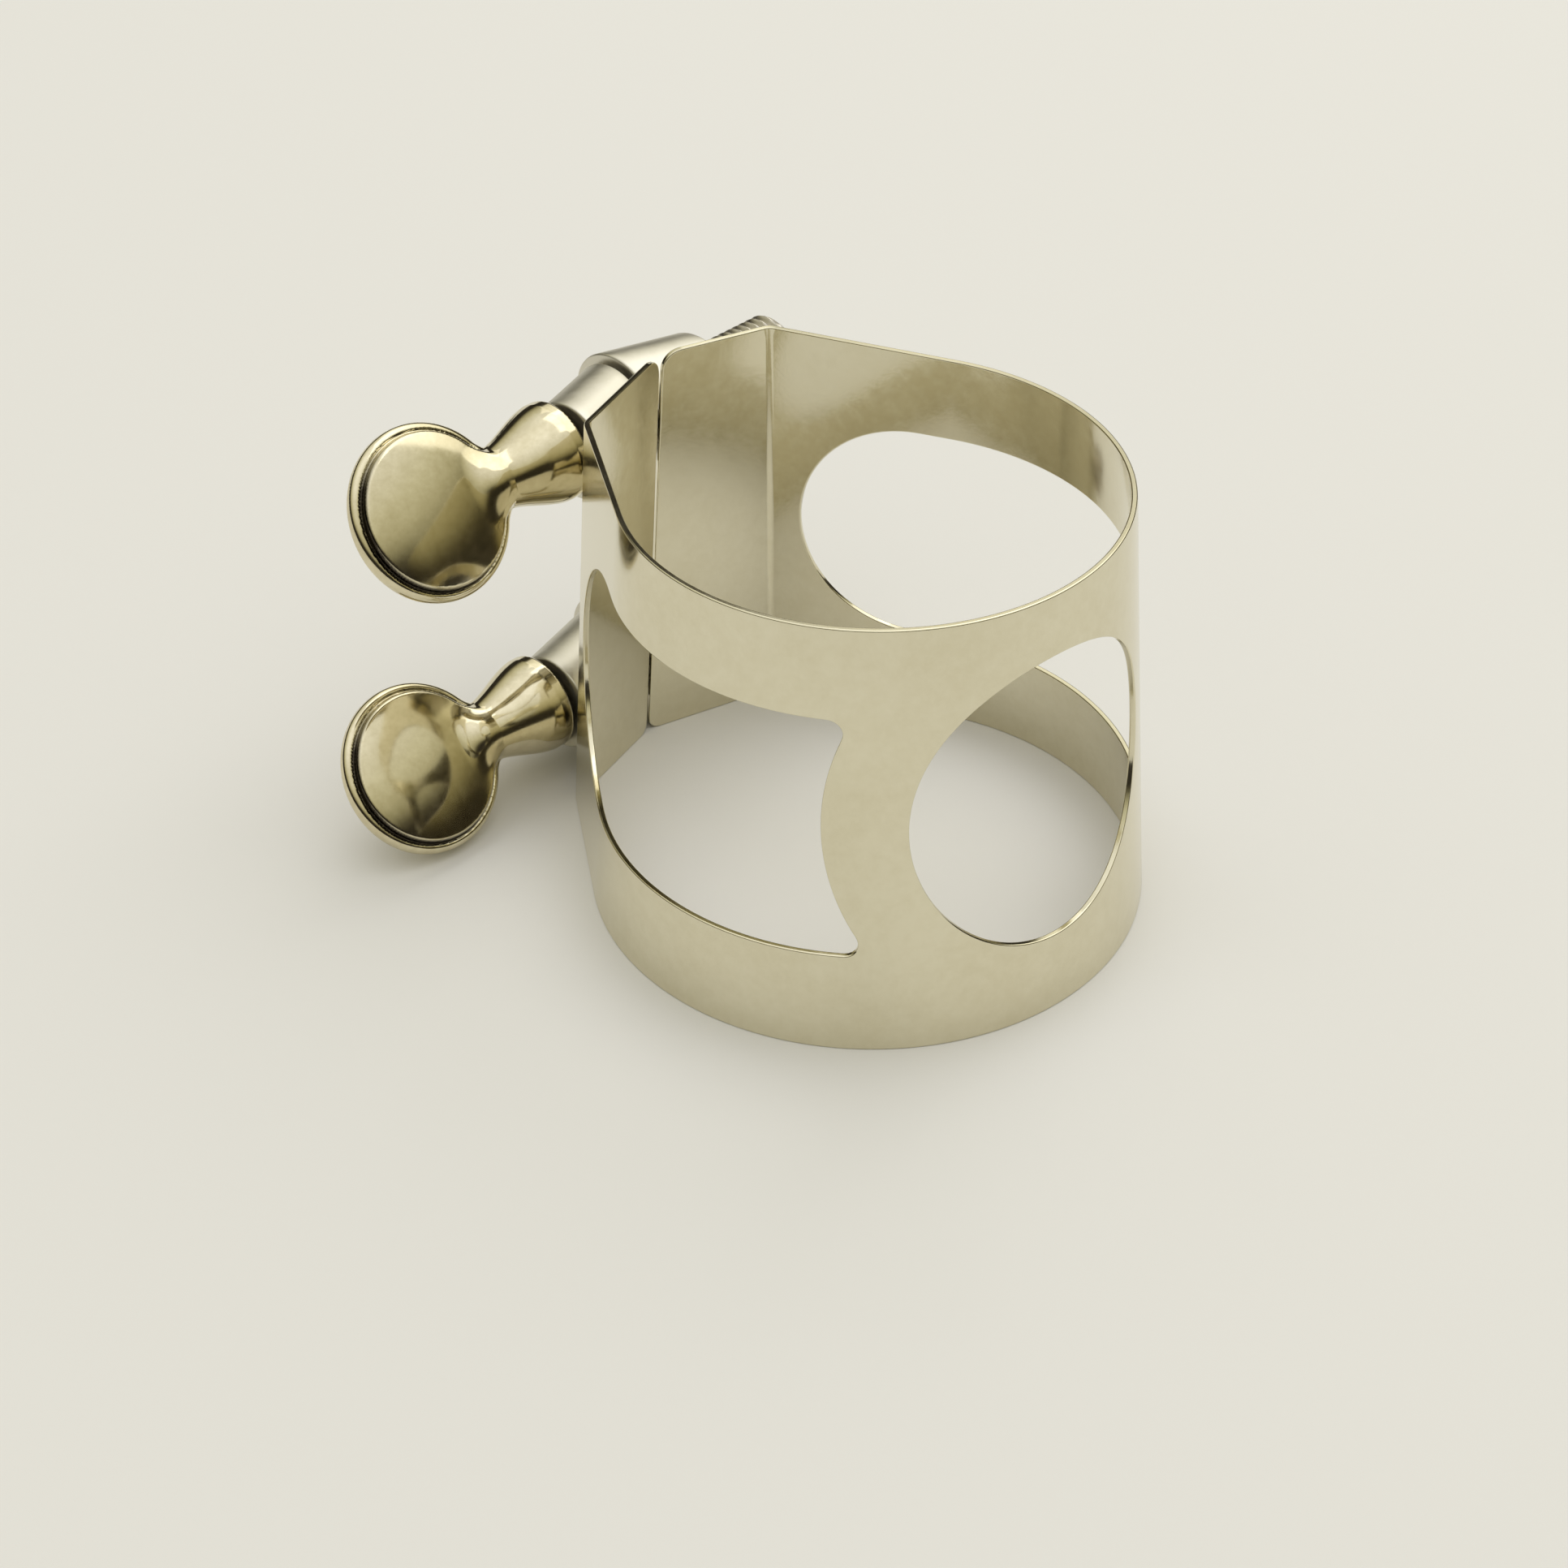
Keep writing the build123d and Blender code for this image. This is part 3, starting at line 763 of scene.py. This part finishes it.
# ---------------------------------------------------------------- shanks
def make_shank(name, level):
    """A real helical thread with a coned tip."""
    columns, rows_per_turn = 48, 10
    start = SHOULDER_X - 1.0  # a little way inside the head
    rows = int((TIP_X - start) / PITCH * rows_per_turn) + 1
    turn = np.linspace(0, 2 * pi, columns, endpoint=False)
    x, phi = np.meshgrid(np.linspace(start, TIP_X, rows), turn, indexing="ij")
    phase = (x / PITCH - phi / (2 * pi)) % 1.0
    # from 0 at a sharp root to 1 on a narrow flat crest
    ridge = np.clip(1.15 - 2.3 * np.abs(phase - 0.5), 0, 1)
    radius = SHANK_RADIUS - THREAD_DEPTH * (1 - ridge)
    cone = TIP_RADIUS + (SHANK_RADIUS - TIP_RADIUS) * (TIP_X - x) / TIP_LENGTH
    radius = np.minimum(radius, cone)
    radius = np.where(x < SHOULDER_X + UNDERCUT_LENGTH, UNDERCUT_RADIUS, radius)
    y = SCREW_Y[level] + radius * np.cos(phi)
    z = SCREW_Z[level] + radius * np.sin(phi)
    verts = np.stack([HEAD_X[level] + x, y, z], -1).reshape(-1, 3)
    faces = grid_faces(rows, columns) + end_faces(rows, columns)
    return sharpen(make_mesh(name, verts, faces), 35)


# ---------------------------------------------------------------- materials
def noise(tree, place, scale, detail, roughness):
    """A noise texture over the object's own coordinates."""
    texture = tree.nodes.new("ShaderNodeTexNoise")
    texture.inputs["Scale"].default_value = scale
    texture.inputs["Detail"].default_value = detail
    texture.inputs["Roughness"].default_value = roughness
    tree.links.new(place.outputs["Object"], texture.inputs["Vector"])
    return texture


def sockets(group, kind):
    """The sockets of a mix node that belong to one kind of value."""
    return [socket for socket in group if socket.type == kind]


def nickel(name, light, dark, rough, rough_spread, bump, grain):
    """Plated metal: cloudy, finely mottled colour, patchy roughness, fine grain, and painted shade where
    a mesh carries a painted shade mask.
    """
    material = bpy.data.materials.new(name)
    material.use_nodes = True
    tree = material.node_tree
    shader = tree.nodes["Principled BSDF"]
    shader.inputs["Metallic"].default_value = 1.0
    link = tree.links.new
    place = tree.nodes.new("ShaderNodeTexCoord")
    cloud = noise(tree, place, scale=150.0, detail=5.0, roughness=0.6)
    mottle = noise(tree, place, scale=1500.0, detail=3.0, roughness=0.7)
    fine = noise(tree, place, scale=grain, detail=2.0, roughness=0.6)

    both = tree.nodes.new("ShaderNodeMix")
    both.inputs["Factor"].default_value = 0.45
    link(cloud.outputs["Fac"], sockets(both.inputs, "VALUE")[1])
    link(mottle.outputs["Fac"], sockets(both.inputs, "VALUE")[2])
    mixed = sockets(both.outputs, "VALUE")[0]

    tone = tree.nodes.new("ShaderNodeValToRGB")
    for stop, position, colour in zip(tone.color_ramp.elements, (0.38, 0.62), (dark, light)):
        stop.position = position
        stop.color = (*colour, 1)
    link(mixed, tone.inputs["Fac"])

    # painted shade: the colour goes towards near-black where the mesh's painted shade mask says
    painted_shade = tree.nodes.new("ShaderNodeAttribute")
    painted_shade.attribute_name = "painted_shade"
    shade = tree.nodes.new("ShaderNodeMix")
    shade.data_type = "RGBA"
    own_colour_input, shaded_colour_input = sockets(shade.inputs, "RGBA")
    shaded_colour_input.default_value = (*PAINTED_SHADE_COLOUR, 1)
    link(painted_shade.outputs["Fac"], shade.inputs["Factor"])
    link(tone.outputs["Color"], own_colour_input)
    link(sockets(shade.outputs, "RGBA")[0], shader.inputs["Base Color"])

    patch = tree.nodes.new("ShaderNodeMapRange")
    patch.inputs["From Min"].default_value = 0.35
    patch.inputs["From Max"].default_value = 0.65
    patch.inputs["To Min"].default_value = rough
    patch.inputs["To Max"].default_value = rough + rough_spread
    link(mixed, patch.inputs["Value"])
    link(patch.outputs["Result"], shader.inputs["Roughness"])

    relief = tree.nodes.new("ShaderNodeBump")
    relief.inputs["Strength"].default_value = bump
    relief.inputs["Distance"].default_value = BUMP_HEIGHT
    link(fine.outputs["Fac"], relief.inputs["Height"])
    link(relief.outputs["Normal"], shader.inputs["Normal"])
    return material


# ---------------------------------------------------------------- build
metals = {slot: nickel(slot + "_nickel", *look) for slot, look in METALS.items()}


def dress(obj, slot):
    """Gives a piece its slot and that slot's metal."""
    obj.data.materials.clear()
    obj.data.materials.append(metals[slot])
    return obj


band = dress(make_band(), "band")
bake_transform(band)
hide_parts("band_left_wing", "band_right_wing")
heads = make_heads()
for level, name in enumerate(LEVELS):
    for side, kind, body in ((-1, "plain", "left_wing"), (1, "threaded", "right_wing")):
        barrel = dress(make_barrel(f"{name}_{kind}_tube", side, level), "barrel")
        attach(barrel, body)
        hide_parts(f"{name}_{kind}_barrel")
        solder = dress(make_solder(f"{name}_{kind}_fillet", side, level), "solder")
        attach(solder, body)
        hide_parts(f"{name}_{kind}_solder")
    dress(heads[level], "head")
    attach(heads[level], name + "_screw")
    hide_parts(name + "_thumb_head")
    shank = dress(make_shank(name + "_thread", level), "shank")
    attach(shank, name + "_screw")
    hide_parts(name + "_threaded_shank")


# ---------------------------------------------------------------- floor, light, camera
def make_floor():
    """A plain sheet of pale paper."""
    bpy.ops.mesh.primitive_plane_add(size=PAPER_SIZE, location=(0, 0, 0))
    floor = bpy.context.object
    floor.name = "floor"
    paper = bpy.data.materials.new("paper")
    paper.use_nodes = True
    shader = paper.node_tree.nodes["Principled BSDF"]
    shader.inputs["Base Color"].default_value = (*PAPER_COLOUR, 1)
    shader.inputs["Roughness"].default_value = 0.9
    shader.inputs["Specular IOR Level"].default_value = 0.1
    floor.data.materials.append(paper)


def softbox(name, place, size, power):
    """A square soft light that faces the object."""
    light = bpy.data.lights.new(name, "AREA")
    light.shape = "SQUARE"
    light.size = size
    light.energy = power
    light.color = LIGHT_COLOUR
    obj = bpy.data.objects.new(name, light)
    bpy.context.scene.collection.objects.link(obj)
    obj.location = place
    obj.rotation_mode = "QUATERNION"
    obj.rotation_quaternion = (Vector(LIGHT_TARGET) - Vector(place)).to_track_quat("-Z", "Y")


def make_room():
    """A studio that is bright overhead and dark below the table's edge."""
    world = bpy.data.worlds.new("room")
    bpy.context.scene.world = world
    world.use_nodes = True
    tree = world.node_tree
    background = tree.nodes["Background"]
    background.inputs["Strength"].default_value = 1.0
    place = tree.nodes.new("ShaderNodeTexCoord")
    split = tree.nodes.new("ShaderNodeSeparateXYZ")
    ramp = tree.nodes.new("ShaderNodeValToRGB")
    stops = ramp.color_ramp.elements
    stops.remove(stops[1])
    stops[0].position = 0.0
    stops[0].color = (*ROOM_SHADES[0][1], 1)
    for position, colour in ROOM_SHADES:
        stops.new(position).color = (*colour, 1)
    tree.links.new(place.outputs["Generated"], split.inputs["Vector"])
    tree.links.new(split.outputs["Z"], ramp.inputs["Fac"])
    tree.links.new(ramp.outputs["Color"], background.inputs["Color"])


def make_camera():
    """The camera at the photograph's place and angle."""
    lens = bpy.data.cameras.new("camera")
    lens.sensor_width = CAMERA_SENSOR
    lens.lens = CAMERA_LENS
    lens.clip_start = 0.005
    lens.clip_end = 10.0
    camera = bpy.data.objects.new("camera", lens)
    bpy.context.scene.collection.objects.link(camera)
    forward = Vector(CAMERA_FORWARD).normalized()
    right = forward.cross(Vector((0, 0, 1))).normalized()
    up = right.cross(forward)
    turn = Matrix((right, up, -forward)).transposed().to_4x4()
    camera.matrix_world = Matrix.Translation(Vector(CAMERA_PLACE)) @ turn
    return camera


make_floor()
softbox("key", place=(0.37, 0.0, 0.53), size=0.6, power=0.95)
softbox("back", place=(0.38, 0.36, 0.42), size=0.36, power=0.2)
make_room()
bpy.context.scene.camera = make_camera()
bpy.context.scene.view_settings.view_transform = "Standard"
